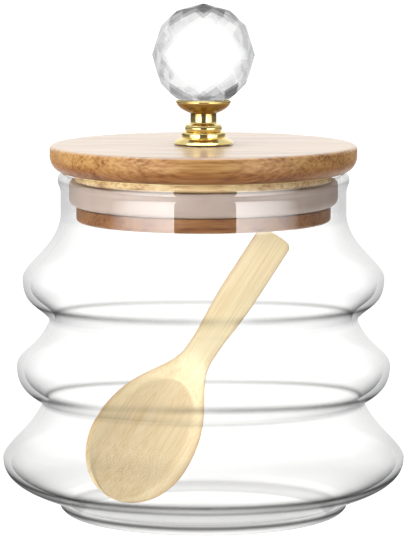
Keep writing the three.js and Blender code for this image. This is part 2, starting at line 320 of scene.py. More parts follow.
def ring_lines(height, turn, lines):
    """1 less the product of what all lines let through, for every height and every turn.

    A line fades with exp(-((height - its height) / half width)^2). Its share goes from front to side by cos(turn)^2,
    and its height lifts at the far sides by a high power of that. In front of the spoon it is weaker by a bell over
    the turn.
    """
    sideways = np.cos(turn) ** 2
    through = np.ones((len(height), len(turn)))
    for middle, rise, lift, front, side, front_width, side_width in lines:
        width = front_width + (side_width - front_width) * sideways
        runs_at = middle + rise * (1 - sideways) + lift * sideways**LATE
        bell = np.exp(-(((height[:, None] - runs_at) / width) ** 2))
        dark = 1 - front * (side / front) ** sideways
        spoon_side, spread = (np.interp(middle, SPOON_HEIGHTS, at) for at in (SPOON_SIDES, SPOON_SPREADS))
        spoon_bell = SPOON_SHARE * np.exp(-(((turn - spoon_side) / spread) ** 2))
        through *= 1 - bell * dark * (1 - spoon_bell * (middle > SPOON_FROM))
    return 1 - through


def mark(piece, name, values, around):
    """Store values for the rows of a turned piece, or for every point of the rows, and 0 at the two poles."""
    spread = np.broadcast_to(values.reshape(len(values), -1), (len(values), around))
    made = piece.data.attributes.new(name, "FLOAT", "POINT")
    made.data.foreach_set("value", np.concatenate([spread[1:-1].ravel(), [0, 0]]))


height, reach = jar_section[:, 1], jar_section[:, 0]
turn = np.linspace(0, 2 * np.pi, JAR_AROUND, endpoint=False)
along = np.gradient(jar_section, axis=0)
lean = along[:, 0] / np.linalg.norm(along, axis=1)
outer = np.arange(len(height)) < height.argmax()
looks_down = np.where(outer, np.clip(lean, 0, 1) * OUTER_SHARE, np.clip(-lean, 0, 1))
looks_down = looks_down * smooth_step((height - UNDER_FROM) / (UNDER_FULL - UNDER_FROM))
outer_clear = np.where(reach < BASE_RADIUS, np.abs(lean), np.clip(-lean, 0, 1) / 2)
clear = np.where(outer, outer_clear, 1)
outer_dark, inner_dark = ring_lines(height, turn, OUTER_LINES), ring_lines(height, turn, INNER_LINES)
mark(jar, "line", np.where(outer[:, None], outer_dark, inner_dark), JAR_AROUND)
mark(jar, "looks_down", looks_down, JAR_AROUND)
mark(jar, "clear", clear, JAR_AROUND)
print("rows of the jar that look down:", int((looks_down > 0).sum()), "of", len(height))

# %% [markdown]
# ## Finishes
#
# A finish is a small network of nodes that ends in one shader. Numbers that are the same all over go on the
# shader's own sockets. Everything that varies reads a value stored on the mesh or the object's coordinates. These
# are metres here, so a noise scale of 1000 has about one blotch to each millimetre.

# %% Helpers for finishes
def new_finish(name, **sockets):
    """A material, its nodes and its shader, with uniform values set on the shader's sockets."""
    finish = bpy.data.materials.new(name)
    finish.use_nodes = True
    shader = finish.node_tree.nodes["Principled BSDF"]
    for socket, value in sockets.items():
        shader.inputs[socket.replace("_", " ")].default_value = value
    return finish, finish.node_tree, shader


def node(tree, kind, inputs=None, **settings):
    """Add a node; an input that is another node's socket is linked, any other value is set."""
    made = tree.nodes.new("ShaderNode" + kind)
    for key, value in settings.items():
        setattr(made, key, value)
    for key, value in (inputs or {}).items():
        if isinstance(value, bpy.types.NodeSocket):
            tree.links.new(value, made.inputs[key])
        else:
            made.inputs[key].default_value = value
    return made


def stored(tree, name, output="Fac"):
    """A value that the points or faces of the mesh carry under a name."""
    return node(tree, "Attribute", attribute_name=name).outputs[output]


def coordinates(tree):
    """The x, y and z of a point of the object, in metres."""
    return node(tree, "SeparateXYZ", {"Vector": node(tree, "TexCoord").outputs["Object"]}).outputs


print("finishes are made with", bpy.app.version_string)

# %% [markdown]
# Most finishes are built from the same few steps: a noise, a ramp of colours over a value, a value brought to another
# range, two values or two colours combined, and small bumps. Each step is a function that gives back an output, so
# a finish reads as a list of what it is made of.

# %% Steps of a finish
def grain(tree, stretch, scale, detail=2.0, source=None):
    """Noise on object coordinates, stretched along an axis where its stretch is small."""
    place = source or node(tree, "TexCoord").outputs["Object"]
    placed = node(tree, "Mapping", {"Vector": place, "Scale": stretch})
    made = node(tree, "TexNoise", {"Vector": placed.outputs[0], "Scale": scale, "Detail": detail})
    return made.outputs["Fac"]


def grey(value):
    """The same share of red, green and blue."""
    return (value, value, value)


def shades(tree, value, *stops):
    """Colour ramp: pairs of a position and a colour, evenly blended between."""
    made = node(tree, "ValToRGB", {"Fac": value})
    while len(made.color_ramp.elements) < len(stops):
        made.color_ramp.elements.new(0.5)
    for element, (position, colour) in zip(made.color_ramp.elements, stops):
        element.position = position
        element.color = (*colour, 1.0)
    return made.outputs["Color"]


def span(tree, value, low, high, start=0.3, end=0.7):
    """Map a value from start..end to low..high."""
    inputs = {"Value": value, "From Min": start, "From Max": end, "To Min": low, "To Max": high}
    return node(tree, "MapRange", inputs).outputs["Result"]


def combined(tree, first, second, how="MULTIPLY", **settings):
    """One number out of two: their product, sum or difference, or the larger one."""
    return node(tree, "Math", {0: first, 1: second}, operation=how, **settings).outputs[0]


def tinted(tree, colour, tint, share=1.0, how="MULTIPLY"):
    """A colour times a tint, or mixed with it, by a share."""
    inputs = {"Factor": share, "A": colour, "B": tint}
    return node(tree, "Mix", inputs, data_type="RGBA", blend_type=how).outputs["Result"]


def relief(tree, shader, height, strength, depth):
    """Small bumps on the surface from a height pattern."""
    made = node(tree, "Bump", {"Height": height, "Strength": strength, "Distance": depth})
    tree.links.new(made.outputs["Normal"], shader.inputs["Normal"])


def linked(tree, shader, **outputs):
    """Let outputs drive the shader's sockets of the same name."""
    for socket, output in outputs.items():
        tree.links.new(output, shader.inputs[socket.replace("_", " ")])


print("a grey of one half:", grey(0.5))

# %% [markdown]
# ## Clear glass
#
# Thin clear glass shows itself only at its edges and by what it mirrors. Full refraction in a wall of this
# thickness would bend the spoon out of shape, so the body of the glass bends light very little, and a clear coat
# carries the mirror of real glass. The coat is full on the neck, where the lamps show as two pale fields, and only a
# trace below it. Where the wall is seen edge on, light has a long way through it and comes out weaker: a ramp over
# the viewing angle gives the grey outline, and a second one darkens what looks down. The values on the mesh add the
# dark lines, on faces that are turned to the viewer. Lamps shine through to the spoon, by a see-through shader for
# shadow rays alone.

# %% Glass of the jar
def lamps_shine_through(tree, shader, share):
    """Rays from lamps meet a see-through shader; every other ray meets the glass."""
    clear = node(tree, "BsdfTransparent", {"Color": (*grey(share), 1)})
    ray = node(tree, "LightPath").outputs["Is Shadow Ray"]
    mixed = node(tree, "MixShader", {0: ray, 1: shader.outputs["BSDF"], 2: clear.outputs["BSDF"]})
    tree.links.new(mixed.outputs[0], tree.nodes["Material Output"].inputs["Surface"])


COAT_LOW, COAT_FROM, COAT_FULL = 0.03, 96.0, 97.2
LAMP_SHARE = 0.97

clear_glass, tree, shader = new_finish(
    "clear_glass", Transmission_Weight=1.0, IOR=1.002, Coat_IOR=2.0, Coat_Roughness=0.0
)
edge_on = node(tree, "LayerWeight", {"Blend": 0.5}).outputs["Facing"]
edge_tint = shades(
    tree,
    edge_on,
    (0.30, (0.995, 0.995, 0.995)),
    (0.45, (0.96, 0.962, 0.965)),
    (0.54, (0.86, 0.865, 0.87)),
    (0.61, (0.75, 0.755, 0.76)),
    (0.69, (0.67, 0.675, 0.68)),
    (0.75, (0.61, 0.615, 0.62)),
    (1.00, (0.52, 0.525, 0.53)),
)
# Painted shade: glass that looks down is darkened, as if it mirrored the shaded floor under the jar.
looks_down_painted_shade = shades(tree, edge_on, (0.62, grey(1.0)), (0.76, grey(0.68)), (0.88, grey(0.20)), (1.0, grey(0.03)))
clear = stored(tree, "clear")
turned_away = node(tree, "NewGeometry").outputs["Backfacing"]
in_front = {"Value": turned_away, "From Min": 1.0, "From Max": 0.0, "To Max": stored(tree, "line")}
line = node(tree, "MapRange", in_front).outputs["Result"]
tint = tinted(tree, edge_tint, (*grey(0.985), 1), clear, "MIX")
tint = tinted(tree, tint, looks_down_painted_shade, stored(tree, "looks_down"))
tint = tinted(tree, tint, (*grey(0), 1), line)
gloss = span(tree, coordinates(tree)["Z"], COAT_LOW, 1.0, COAT_FROM * MM, COAT_FULL * MM)
gloss = combined(tree, gloss, span(tree, edge_on, 1.0, 0.12, 0.45, 0.8))
gloss = combined(tree, gloss, span(tree, clear, 1.0, 0.0, 0.6, 0.9))
rubbed = span(tree, grain(tree, (1, 1, 1), 60), 0.0, 0.02)
linked(tree, shader, Base_Color=tint, Coat_Weight=gloss, Roughness=rubbed)
relief(tree, shader, grain(tree, (1, 1, 0.5), 45, 1.0), 0.06, 0.0006)
lamps_shine_through(tree, shader, LAMP_SHARE)
jar.data.materials.append(clear_glass)
print("jar finished in", clear_glass.name)

# %% [markdown]
# ## The lid
#
# The lid is a disc of bamboo board turned on a lathe, with a crisp upper edge, a lower edge that curls under, and
# a plug that drops into the neck. The plug has a groove for the seal and ends in a flange of the same wood. The
# groove could be cut with a Boolean, but as part of the section it needs no cut. Edges where two faces meet at more
# than the crease angle stay sharp in shading, and all others look round.

# %% Lid
LID_BOTTOM, LID_TOP, LID_RADIUS, LID_EDGE, LID_CURL = 112.1, 121.0, 49.8, 1.3, (5.4, 5.3)
PLUG_RADIUS, PLUG_BOTTOM, FLANGE_RADIUS, PLUG_EDGE = 41.8, 96.3, 41.3, 1.0
GROOVE_RADIUS, GROOVE_TOP, GROOVE_BOTTOM = 39.4, 109.4, 100.9
BREAK, BREAK_STEPS, EDGE_STEPS, CURL_STEPS, TOP_ROWS = 0.35, 4, 8, 16, 14
LID_AROUND, LID_CREASE = 144, 50

lid_section = joined(
    [[0, PLUG_BOTTOM]],
    arc((FLANGE_RADIUS - PLUG_EDGE, PLUG_BOTTOM + PLUG_EDGE), (PLUG_EDGE, PLUG_EDGE), -90, 0, EDGE_STEPS),
    arc((FLANGE_RADIUS - BREAK, GROOVE_BOTTOM - BREAK), (BREAK, BREAK), 0, 90, BREAK_STEPS),
    [[GROOVE_RADIUS, GROOVE_BOTTOM], [GROOVE_RADIUS, GROOVE_TOP]],
    arc((PLUG_RADIUS - BREAK, GROOVE_TOP + BREAK), (BREAK, BREAK), -90, 0, BREAK_STEPS),
    [[PLUG_RADIUS, LID_BOTTOM]],
    arc((LID_RADIUS - LID_CURL[0], LID_BOTTOM + LID_CURL[1]), LID_CURL, -90, 0, CURL_STEPS),
    arc((LID_RADIUS - LID_EDGE, LID_TOP - LID_EDGE), (LID_EDGE, LID_EDGE), 0, 90, EDGE_STEPS),
    np.stack([np.linspace(LID_RADIUS - LID_EDGE, 0, TOP_ROWS), np.full(TOP_ROWS, LID_TOP)], axis=-1),
)
lid = new_piece("bamboo_lid", *turned(lid_section, LID_AROUND), "lid", "lid_wood", LID_CREASE)

# %% [markdown]
# ## Lacquered bamboo
#
# Bamboo board is glued up from strips, and its fibres show as dots where they are cut across and as fine lines
# where they run along. One noise that is stretched along the fibres gives both: the fibres run from left to right,
# so lines lie on the top and on the front edge, and dots at the left and right ends. A clear lacquer lies over the
# top and mirrors the pale surroundings at a low angle; the top's colour is also mixed towards pale grey, a painted
# reflection. A ramp over the height paints light and shade into the wood: painted light on the plug above the seal,
# painted shade right under the lid and on its lower curl, and painted shade at the flange.

# %% Bamboo of the lid
STRIP_WIDTH, STRIP_TONE, BUNDLE_SHARE = 6.8, 0.03, 0.42
PLUG_FROM, TOP_REFLECTION_FROM, TOP_REFLECTION_FULL, TOP_REFLECTION_SHARE = 96.0, 120.3, 120.9, 0.5
LACQUER_FROM, LACQUER_FULL = 119.0, 120.8

bamboo, tree, shader = new_finish("lacquered_bamboo", Coat_Roughness=0.2, Specular_IOR_Level=0.25)
fibres = grain(tree, (0.04, 1, 1), 1150, 2.5)
bundles = grain(tree, (0.05, 1, 1), 210, 2.0)
place = coordinates(tree)
strip = combined(tree, place["Y"], STRIP_WIDTH * MM, "SNAP")
strip_tone = node(tree, "TexWhiteNoise", {"W": strip}, noise_dimensions="1D").outputs["Value"]
mixed = node(tree, "Mix", {"Factor": BUNDLE_SHARE, "A": fibres, "B": bundles}).outputs[0]
mixed = combined(tree, mixed, span(tree, strip_tone, -STRIP_TONE, STRIP_TONE, 0, 1), "ADD")
wood = shades(
    tree,
    mixed,
    (0.30, (0.230, 0.085, 0.020)),
    (0.45, (0.570, 0.270, 0.085)),
    (0.56, (0.730, 0.400, 0.140)),
    (0.70, (0.830, 0.520, 0.210)),
)
# Painted light and shade over the height: pale above the seal, dark right under the lid, on its curl and at the
# flange.
plug_painted_light_and_shade = shades(
    tree,
    span(tree, place["Z"], 0, 1, PLUG_FROM * MM, LID_TOP * MM),
    (0.20, (0.42, 0.33, 0.27)),
    (0.50, (1.0, 1.25, 1.7)),
    (0.64, (1.1, 1.6, 2.4)),
    (0.665, (0.52, 0.38, 0.28)),
    (0.76, (0.68, 0.53, 0.41)),
    (0.86, (1.0, 1.0, 1.0)),
)
wood = tinted(tree, wood, plug_painted_light_and_shade)
# Painted reflection: the top's colour is mixed towards the pale grey that its lacquer mirrors.
top_painted_reflection = span(tree, place["Z"], 0.0, TOP_REFLECTION_SHARE, TOP_REFLECTION_FROM * MM, TOP_REFLECTION_FULL * MM)
wood = tinted(tree, wood, (0.72, 0.66, 0.60, 1), top_painted_reflection, "MIX")
lacquer = span(tree, place["Z"], 0.15, 0.68, LACQUER_FROM * MM, LACQUER_FULL * MM)
linked(tree, shader, Base_Color=wood, Coat_Weight=lacquer, Roughness=span(tree, fibres, 0.5, 0.32))
relief(tree, shader, fibres, 0.25, 0.00012)
lid.data.materials.append(bamboo)
print("lid finished in", bamboo.name)

# %% [markdown]
# ## The seal
#
# A ring of milky silicone sits in the groove. Its upper part bulges past the plug and presses on the neck. Light
# enters it and comes out somewhere else, which is what the subsurface part of the shader does. A faint cloudiness
# varies its tone and its gloss together.

# %% Seal
SEAL_LIP, SEAL_FOOT, SEAL_SHOULDER, SEAL_EDGE, GAP = 43.6, 41.2, 104.2, 0.6, 0.3
SEAL_STEPS, SEAL_EDGE_STEPS = 16, 6
seal_low, seal_high, seal_inner = GROOVE_BOTTOM + GAP, GROOVE_TOP - GAP, GROOVE_RADIUS + GAP
seal_section = joined(
    [[seal_inner, seal_low]],
    soft_corner((SEAL_FOOT, seal_low), (SEAL_LIP, seal_low + SEAL_EDGE), (SEAL_LIP, SEAL_SHOULDER), SEAL_STEPS),
    arc((SEAL_LIP - SEAL_EDGE, seal_high - SEAL_EDGE), (SEAL_EDGE, SEAL_EDGE), 0, 90, SEAL_EDGE_STEPS),
    [[seal_inner, seal_high]],
)
seal = new_piece("silicone_seal", *turned(seal_section, LID_AROUND), "seal", "seal_silicone", LID_CREASE)

silicone, tree, shader = new_finish(
    "milky_silicone", Subsurface_Weight=0.6, Subsurface_Scale=0.004, Subsurface_Radius=(1.0, 0.85, 0.75)
)
cloud = grain(tree, (1, 1, 1), 180, 3.0)
milk = shades(tree, cloud, (0.3, (0.45, 0.35, 0.295)), (0.7, (0.50, 0.40, 0.34)))
linked(tree, shader, Base_Color=milk, Roughness=span(tree, cloud, 0.36, 0.5))
relief(tree, shader, grain(tree, (1, 1, 1), 900, 2.0), 0.1, 0.0001)
seal.data.materials.append(silicone)
print("seal finished in", silicone.name)

# %% [markdown]
# ## The mount of the knob
#
# A small turned brass piece carries the ball: a bell-shaped foot on the lid, a step, a bead, a short neck and a cup
# that the ball stands on. Polished brass is a mirror, so its looks come from a clean section and from the lights.
# Every round has enough rows for an unbroken highlight, and a hair of a gap keeps it from lying in the lid's face.

# %% Brass mount
FLANGE, FLANGE_TOP, FLANGE_EDGE, FLANGE_BULGE = 9.75, 2.5, 0.3, (9.0, 1.6)
STEP, STEP_TOP, BEAD, BEAD_TOP, ROUND = 7.1, 4.2, 6.0, 6.6, 0.6
MOUNT_NECK, NECK_LOW = 4.2, 7.6
CUP, CUP_LOW, CUP_TOP, CUP_EDGE, CUP_BULGE = 8.95, 10.2, 14.6, 0.5, (8.6, 11.8)
MOUNT_AROUND, MOUNT_CREASE = 128, 40
RIM_STEPS, BULGE_STEPS, ROUND_STEPS, BEAD_STEPS, HOLLOW_STEPS = 6, 18, 8, 16, 10

bead_half = (BEAD_TOP - STEP_TOP) / 2
mount_section = joined(
    [[0, GAP]],
    arc((FLANGE - FLANGE_EDGE, GAP + FLANGE_EDGE), (FLANGE_EDGE, FLANGE_EDGE), -90, 0, RIM_STEPS),
    soft_corner((FLANGE, GAP + FLANGE_EDGE), FLANGE_BULGE, (STEP, FLANGE_TOP), BULGE_STEPS),
    arc((STEP - ROUND, STEP_TOP - ROUND), (ROUND, ROUND), 0, 90, ROUND_STEPS),
    arc((BEAD - ROUND, STEP_TOP + bead_half), (ROUND, bead_half), -90, 90, BEAD_STEPS),
    soft_corner((BEAD - ROUND, BEAD_TOP), (MOUNT_NECK, BEAD_TOP), (MOUNT_NECK, NECK_LOW), HOLLOW_STEPS),
    soft_corner((MOUNT_NECK, CUP_LOW), CUP_BULGE, (CUP, CUP_TOP - CUP_EDGE), BULGE_STEPS),
    arc((CUP - CUP_EDGE, CUP_TOP - CUP_EDGE), (CUP_EDGE, CUP_EDGE), 0, 90, ROUND_STEPS),
    [[0, CUP_TOP]],
)
mount_mesh = turned(mount_section + (0, LID_TOP), MOUNT_AROUND)
mount = new_piece("brass_mount", *mount_mesh, "knob_mount", "mount_brass", MOUNT_CREASE)

# %% [markdown]
# ## Polished brass
#
# The metal is one colour with a slight drift in tone. Polishing on a lathe leaves rings that are far too fine to
# see one by one, but they draw the highlights out, so the gloss varies with height much faster than round the axis.
# The outside of the cup mirrors the lid and its own neck, again and again, so its colour is painted
# darker and redder: a painted reflection.

# %% Brass of the mount
CUP_FROM, CUP_TO, CUP_REFLECTION_TINT = 130.0, 136.0, (0.38, 0.30, 0.22)

brass, tree, shader = new_finish("polished_brass", Metallic=1.0)
rings = grain(tree, (0.02, 0.02, 1), 2600, 2.0)
tone = shades(tree, grain(tree, (1, 1, 1), 260), (0.3, (0.85, 0.65, 0.25)), (0.7, (0.94, 0.76, 0.33)))
up_the_cup = span(tree, coordinates(tree)["Z"], 0, 1, CUP_FROM * MM, CUP_TO * MM)
# Painted reflection: the outside of the cup is darker and redder than the rest of the brass.
cup_painted_reflection = shades(tree, up_the_cup, (0.0, grey(1)), (0.2, CUP_REFLECTION_TINT), (0.72, CUP_REFLECTION_TINT), (0.85, grey(1)))
tone = tinted(tree, tone, cup_painted_reflection)
linked(tree, shader, Base_Color=tone, Roughness=span(tree, rings, 0.10, 0.18))
relief(tree, shader, rings, 0.05, 0.00005)
mount.data.materials.append(brass)
print("mount finished in", brass.name)

# %% [markdown]
# ## The crystal ball
#
# The ball is cut in rows of kite-shaped facets. Blender has an icosphere ready, but its triangles would look like a
# greenhouse dome. Here all corners lie on a sphere too, and join as kites. A kite is flat when its upper corner
# lies where the line from its lower corner, through the middle between its two side corners, leaves the sphere
# again, so each row follows from the two before it. Rows are turned by half a facet against each other, and the
# lowest row is the edge of the flat that stands on the mount.

# %% Rows of facets
BALL_RADIUS, SIDES, ROWS = 16.6, 10, 5
half_facet = math.pi / SIDES


def facet_rows():
    """Rows (radius, height) on the unit sphere from the equator up, each where a flat kite comes out of it."""
    rows = [np.array([1.0, 0.0]), np.array([math.cos(half_facet), math.sin(half_facet)])]
    while len(rows) < ROWS:
        reach = rows[-1] * (math.cos(half_facet), 1) - rows[-2]
        rows.append(rows[-2] - reach * 2 * (rows[-2] @ reach) / (reach @ reach))
    return np.array(rows) * BALL_RADIUS


upper = facet_rows()
print("heights of the rows above the middle:", upper[:, 1].round(1).tolist(), "mm")

# %% [markdown]
# Each row is a ring of corners. A kite joins its left and right corner in one row with a corner of the row below and
# one of the row above. The lowest and highest rows have no such neighbour, so they are closed with triangles, by a
# point at the top and by a flat at the bottom.

# %% Crystal ball
ball_rows = np.vstack([upper[:0:-1] * (1, -1), upper])
ball_middle = LID_TOP + CUP_TOP + GAP + upper[-1, 1]
odd = np.abs(np.arange(1 - ROWS, ROWS)) % 2
turn = (2 * np.arange(SIDES) + odd[:, None]) * half_facet
radius, height = ball_rows[:, :1], ball_rows[:, 1:] + ball_middle
ball_points = np.stack([radius * np.cos(turn), radius * np.sin(turn), height + 0 * turn], axis=-1).reshape(-1, 3)
ball_points = np.vstack([ball_points, [0, 0, ball_middle + BALL_RADIUS]])
corner = np.arange(len(ball_rows) * SIDES).reshape(-1, SIDES)
left, right = corner, np.roll(corner, -1, axis=1)
facing = (np.arange(SIDES) + odd[:, None]) % SIDES
under = np.take_along_axis(np.vstack([corner[:1], corner[:-1]]), facing, 1)
over = np.take_along_axis(np.vstack([corner[1:], corner[-1:]]), facing, 1)
kites = np.stack([under, right, over, left], axis=-1)[1:-1].reshape(-1, 4)
apex = np.full(SIDES, len(ball_points) - 1)
triangles = np.vstack(
    [
        np.stack([left[0], right[0], over[0]], axis=-1),
        np.stack([under[-1], right[-1], left[-1]], axis=-1),
        np.stack([left[-1], right[-1], apex], axis=-1),
    ]
)
ball_faces = kites.tolist() + triangles.tolist() + [corner[0, ::-1].tolist()]
ball = new_piece("crystal_ball", ball_points, ball_faces, "knob_crystal", "crystal", crease=0)

# %% [markdown]
# A facet of real crystal has a hair-fine polished edge, which a small bevel gives. Every facet mirrors another part
# of the room inside the ball, so some are dark and some are bright. A wave over the facet's direction picks a shade
# for it, and facets near the top and the bottom are darker.

# %% Edges and shades of the facets
BEVEL_WIDTH, BEVEL_FROM = 0.12, 4
FACET_WAVES = (5.1, 7.3, 9.7)
TOP_FROM, TOP_SHARE, BOTTOM_FROM, BOTTOM_SHARE, FACET_FADE = 0.55, 0.8, 0.4, 0.5, 0.3

across = np.empty(len(ball.data.polygons) * 3)
ball.data.polygons.foreach_get("normal", across)
across = across.reshape(-1, 3)
chance = np.abs(np.sin(across @ FACET_WAVES))
top = smooth_step((across[:, 2] - TOP_FROM) / FACET_FADE) * (TOP_SHARE + (1 - TOP_SHARE) * chance)
bottom = smooth_step((-across[:, 2] - BOTTOM_FROM) / FACET_FADE) * (BOTTOM_SHARE + (1 - BOTTOM_SHARE) * chance)
facet = np.maximum(chance / 2, np.maximum(top, bottom))
ball.data.attributes.new("facet", "FLOAT", "FACE").data.foreach_set("value", facet)
edges = ball.modifiers.new("polished_edges", "BEVEL")
edges.width, edges.segments = BEVEL_WIDTH * MM, 1
edges.limit_method, edges.angle_limit = "ANGLE", math.radians(BEVEL_FROM)
print("facets:", len(facet), "of shades from", facet.min().round(2), "to", facet.max().round(2))

# %% [markdown]
# ## Cut crystal
#
# Real crystal bends light so much that its facets show pieces of the room from far off to the side. Rendering that
# takes a room as rich as a real one. Here the ball hardly bends light, and its finish draws what the room would: a
# grey ring that follows the round of the ball, the shade of each facet where it is seen aslant, and a patchwork of
# small reflections towards the edge. Wear on a knob is only a trace of dulling.

# %% Crystal of the ball
GLINT_SCALE = 330

crystal, tree, shader = new_finish(
    "cut_crystal", Transmission_Weight=1.0, IOR=1.01, Coat_Weight=0.12, Coat_IOR=1.5, Coat_Roughness=0.0
)
edge_on = node(tree, "LayerWeight", {"Blend": 0.5}).outputs["Facing"]
place = node(tree, "TexCoord").outputs["Object"]
middle = (0, 0, ball_middle * MM)
from_middle = node(tree, "VectorMath", {0: place, 1: middle}, operation="SUBTRACT").outputs["Vector"]
outward = node(tree, "VectorMath", {0: from_middle}, operation="NORMALIZE").outputs["Vector"]
round_edge = node(tree, "LayerWeight", {"Blend": 0.5, "Normal": outward}).outputs["Facing"]
round_tint = shades(
    tree,
    round_edge,
    (0.10, (1.0, 1.0, 1.0)),
    (0.22, (0.955, 0.957, 0.96)),
    (0.40, (0.89, 0.893, 0.897)),
    (0.70, (0.82, 0.824, 0.83)),
    (1.00, (0.70, 0.705, 0.71)),
)
aslant = combined(tree, stored(tree, "facet"), span(tree, edge_on, 0.0, 1.0, 0.15, 0.5))
facet_tone = shades(tree, aslant, (0.0, grey(1)), (0.5, (0.72, 0.72, 0.73)), (1.0, grey(0.13)))
glint = node(tree, "TexVoronoi", {"Vector": place, "Scale": GLINT_SCALE}).outputs["Color"]
glint = span(tree, glint, 0.0, 1.0, 0.25, 0.75)
glint = combined(tree, glint, span(tree, round_edge, 0.0, 1.0, 0.08, 0.45))
glint_tone = shades(tree, glint, (0.0, grey(1)), (0.5, (0.93, 0.93, 0.935)), (1.0, (0.66, 0.66, 0.67)))
tint = tinted(tree, tinted(tree, round_tint, facet_tone), glint_tone)
linked(tree, shader, Base_Color=tint, Roughness=span(tree, grain(tree, (1, 1, 1), 400), 0.0, 0.015))
ball.data.materials.append(crystal)
print("ball finished in", crystal.name)

# %% [markdown]
# ## The spoon
#
# The spoon is cut from a flat slip of bamboo: a straight handle with rounded corners, a slim neck, and an egg-shaped
# bowl with a hollow carved into its face. A box that is pulled into shape and subdivided would lose the even
# outline, so the surface is worked out from two parameters, the distance along the spoon and the turn round its
# section. It is made lying flat and then laid into the jar, from the floor on the left to the shoulder behind on the
# right.

# %% Outline of the spoon
SPOON_TIP, SPOON_END = np.array([-31.6, -1.0, 5.8]), np.array([24.3, 41.5, 86.6])
SPOON_FACE = np.array([0, -1, 0.12])
HANDLE_HALF, HANDLE_STRAIGHT, HANDLE_CORNER = 6.2, 22.0, 2.2
SPOON_NECK, SPOON_NECK_HALF = 48.5, 4.9
BOWL_HALF, BOWL_END, BOWL_LEAD, BOWL_LAG = 17.1, 21.0, 12.4, 21.5
CORNER_ROWS, HANDLE_ROWS, TAPER_ROWS, SWELL_ROWS, TIP_ROWS, TIP_LAST = 8, 10, 20, 70, 40, 2
spoon_length = np.linalg.norm(SPOON_TIP - SPOON_END)


def spoon_outline():
    """Rows (distance from the end of the handle, half width): corner, handle, taper, swell and round tip."""
    wide = spoon_length - BOWL_END
    taper = (SPOON_NECK - HANDLE_STRAIGHT) / 2
    handle = (HANDLE_STRAIGHT, HANDLE_HALF)
    neck = (SPOON_NECK, SPOON_NECK_HALF)
    slim = (HANDLE_STRAIGHT + taper, HANDLE_HALF), (SPOON_NECK - taper, SPOON_NECK_HALF)
    swell = (SPOON_NECK + BOWL_LEAD, SPOON_NECK_HALF), (wide - BOWL_LAG, BOWL_HALF)
    straight = np.linspace(HANDLE_CORNER, HANDLE_STRAIGHT, HANDLE_ROWS)
    return joined(
        arc((HANDLE_CORNER, HANDLE_HALF - HANDLE_CORNER), (HANDLE_CORNER, HANDLE_CORNER), 180, 90, CORNER_ROWS),
        np.stack([straight, np.full(HANDLE_ROWS, HANDLE_HALF)], axis=-1),
        sweep(handle, *slim, neck, TAPER_ROWS),
        sweep(neck, *swell, (wide, BOWL_HALF), SWELL_ROWS),
        arc((wide, 0), (BOWL_END, BOWL_HALF), 90, TIP_LAST, TIP_ROWS - 1),
    )


outline = spoon_outline()
print("spoon:", len(outline), "rows,", spoon_length.round(1), "mm long")

# %% [markdown]
# The section of the spoon is a slab with a round edge. In the bowl the whole slab is dished, and the face is carved:
# a hollow with a narrow rim round it that starts in a round end below the neck.

# %% Surface of the spoon
BOWL_DEPTH, DISH_LEAD, DISH_SHAPE = 5.5, 0.16, 0.85
SPOON_THICK, BOWL_THICK, END_POWER, FLATNESS = 2.8, 2.2, 0.2, 0.5
HOLLOW_START, HOLLOW_ROUND, HOLLOW_RIM, HOLLOW_DEPTH, HOLLOW_EDGE = 60.0, 7.0, 1.3, 0.8, 0.5
HOLLOW_LEAST = 1e-6
SPOON_AROUND, SPOON_CREASE = 144, 60


def spoon_surface(rows, around):
    """across = half width * cos(turn); lift = half thickness * |sin(turn)|^flatness, plus or minus.

    The whole section sinks by the dish times (1 - cos^2). The face sinks further inside the outline of the carved
    hollow, which keeps a rim and starts as a half circle: a soft step of 1 - (across / half hollow)^2. The slab thins
    where it narrows, by a low power at the end of the handle and in proportion from the neck on.
    """
    along, half = rows[:, :1], rows[:, 1:]
    turn = np.linspace(0, 2 * np.pi, around, endpoint=False)
    side = np.cos(turn)
    bowl = np.clip((along - SPOON_NECK) / (spoon_length - SPOON_NECK), 0, 1)
    dish = BOWL_DEPTH * np.sin(np.pi * bowl**DISH_SHAPE) * smooth_step(bowl / DISH_LEAD) * (1 - side**2)
    thick = SPOON_THICK + (BOWL_THICK - SPOON_THICK) * np.minimum(1, 2 * bowl)
    thick = thick * np.minimum(1, half / HANDLE_HALF) ** np.interp(along, (0, HANDLE_STRAIGHT), (END_POWER, 1))
    lift = np.sign(np.sin(turn)) * np.abs(np.sin(turn)) ** FLATNESS
    start = np.clip((along - HOLLOW_START) / HOLLOW_ROUND, 0, 1)
    hollow_half = np.maximum(half - HOLLOW_RIM, 0) * np.sqrt(1 - (1 - start) ** 2) + HOLLOW_LEAST
    carved = smooth_step((1 - (half * side / hollow_half) ** 2) / HOLLOW_EDGE) * (np.sin(turn) > 0) * (start > 0)
    surface = np.stack([half * side, along + 0 * turn, thick / 2 * lift - dish - HOLLOW_DEPTH * carved], axis=-1)
    return surface, carved


flat_grid, carved = spoon_surface(outline, SPOON_AROUND)
print("carved share of the face:", (carved > 0.5).mean().round(2))

# %% [markdown]
# The flat spoon becomes a closed tube of rings. It is turned so that its length runs from the end of the handle to
# the tip of the bowl, and its face looks forward. The mesh also carries what its finish needs: the place on the flat
# slip, how deep a point lies in the hollow, and how near it is to the edge. The rim of the bowl counts as half
# hollow, so the whole bowl is painted a little darker than the handle: painted shade.

# %% Spoon in the jar
EDGE_SHADE_POWER, BOWL_PAINTED_SHADE, RIM_LEAD = 14, 0.55, 16.0


def laid_in_jar(flat):
    """Turn flat points (across, along, lift) so that along runs from the handle's end to the tip of the bowl."""
    along = (SPOON_TIP - SPOON_END) / spoon_length
    face = SPOON_FACE - along * (SPOON_FACE @ along)
    face = face / np.linalg.norm(face)
    return SPOON_END + flat @ np.stack([np.cross(along, face), along, face])


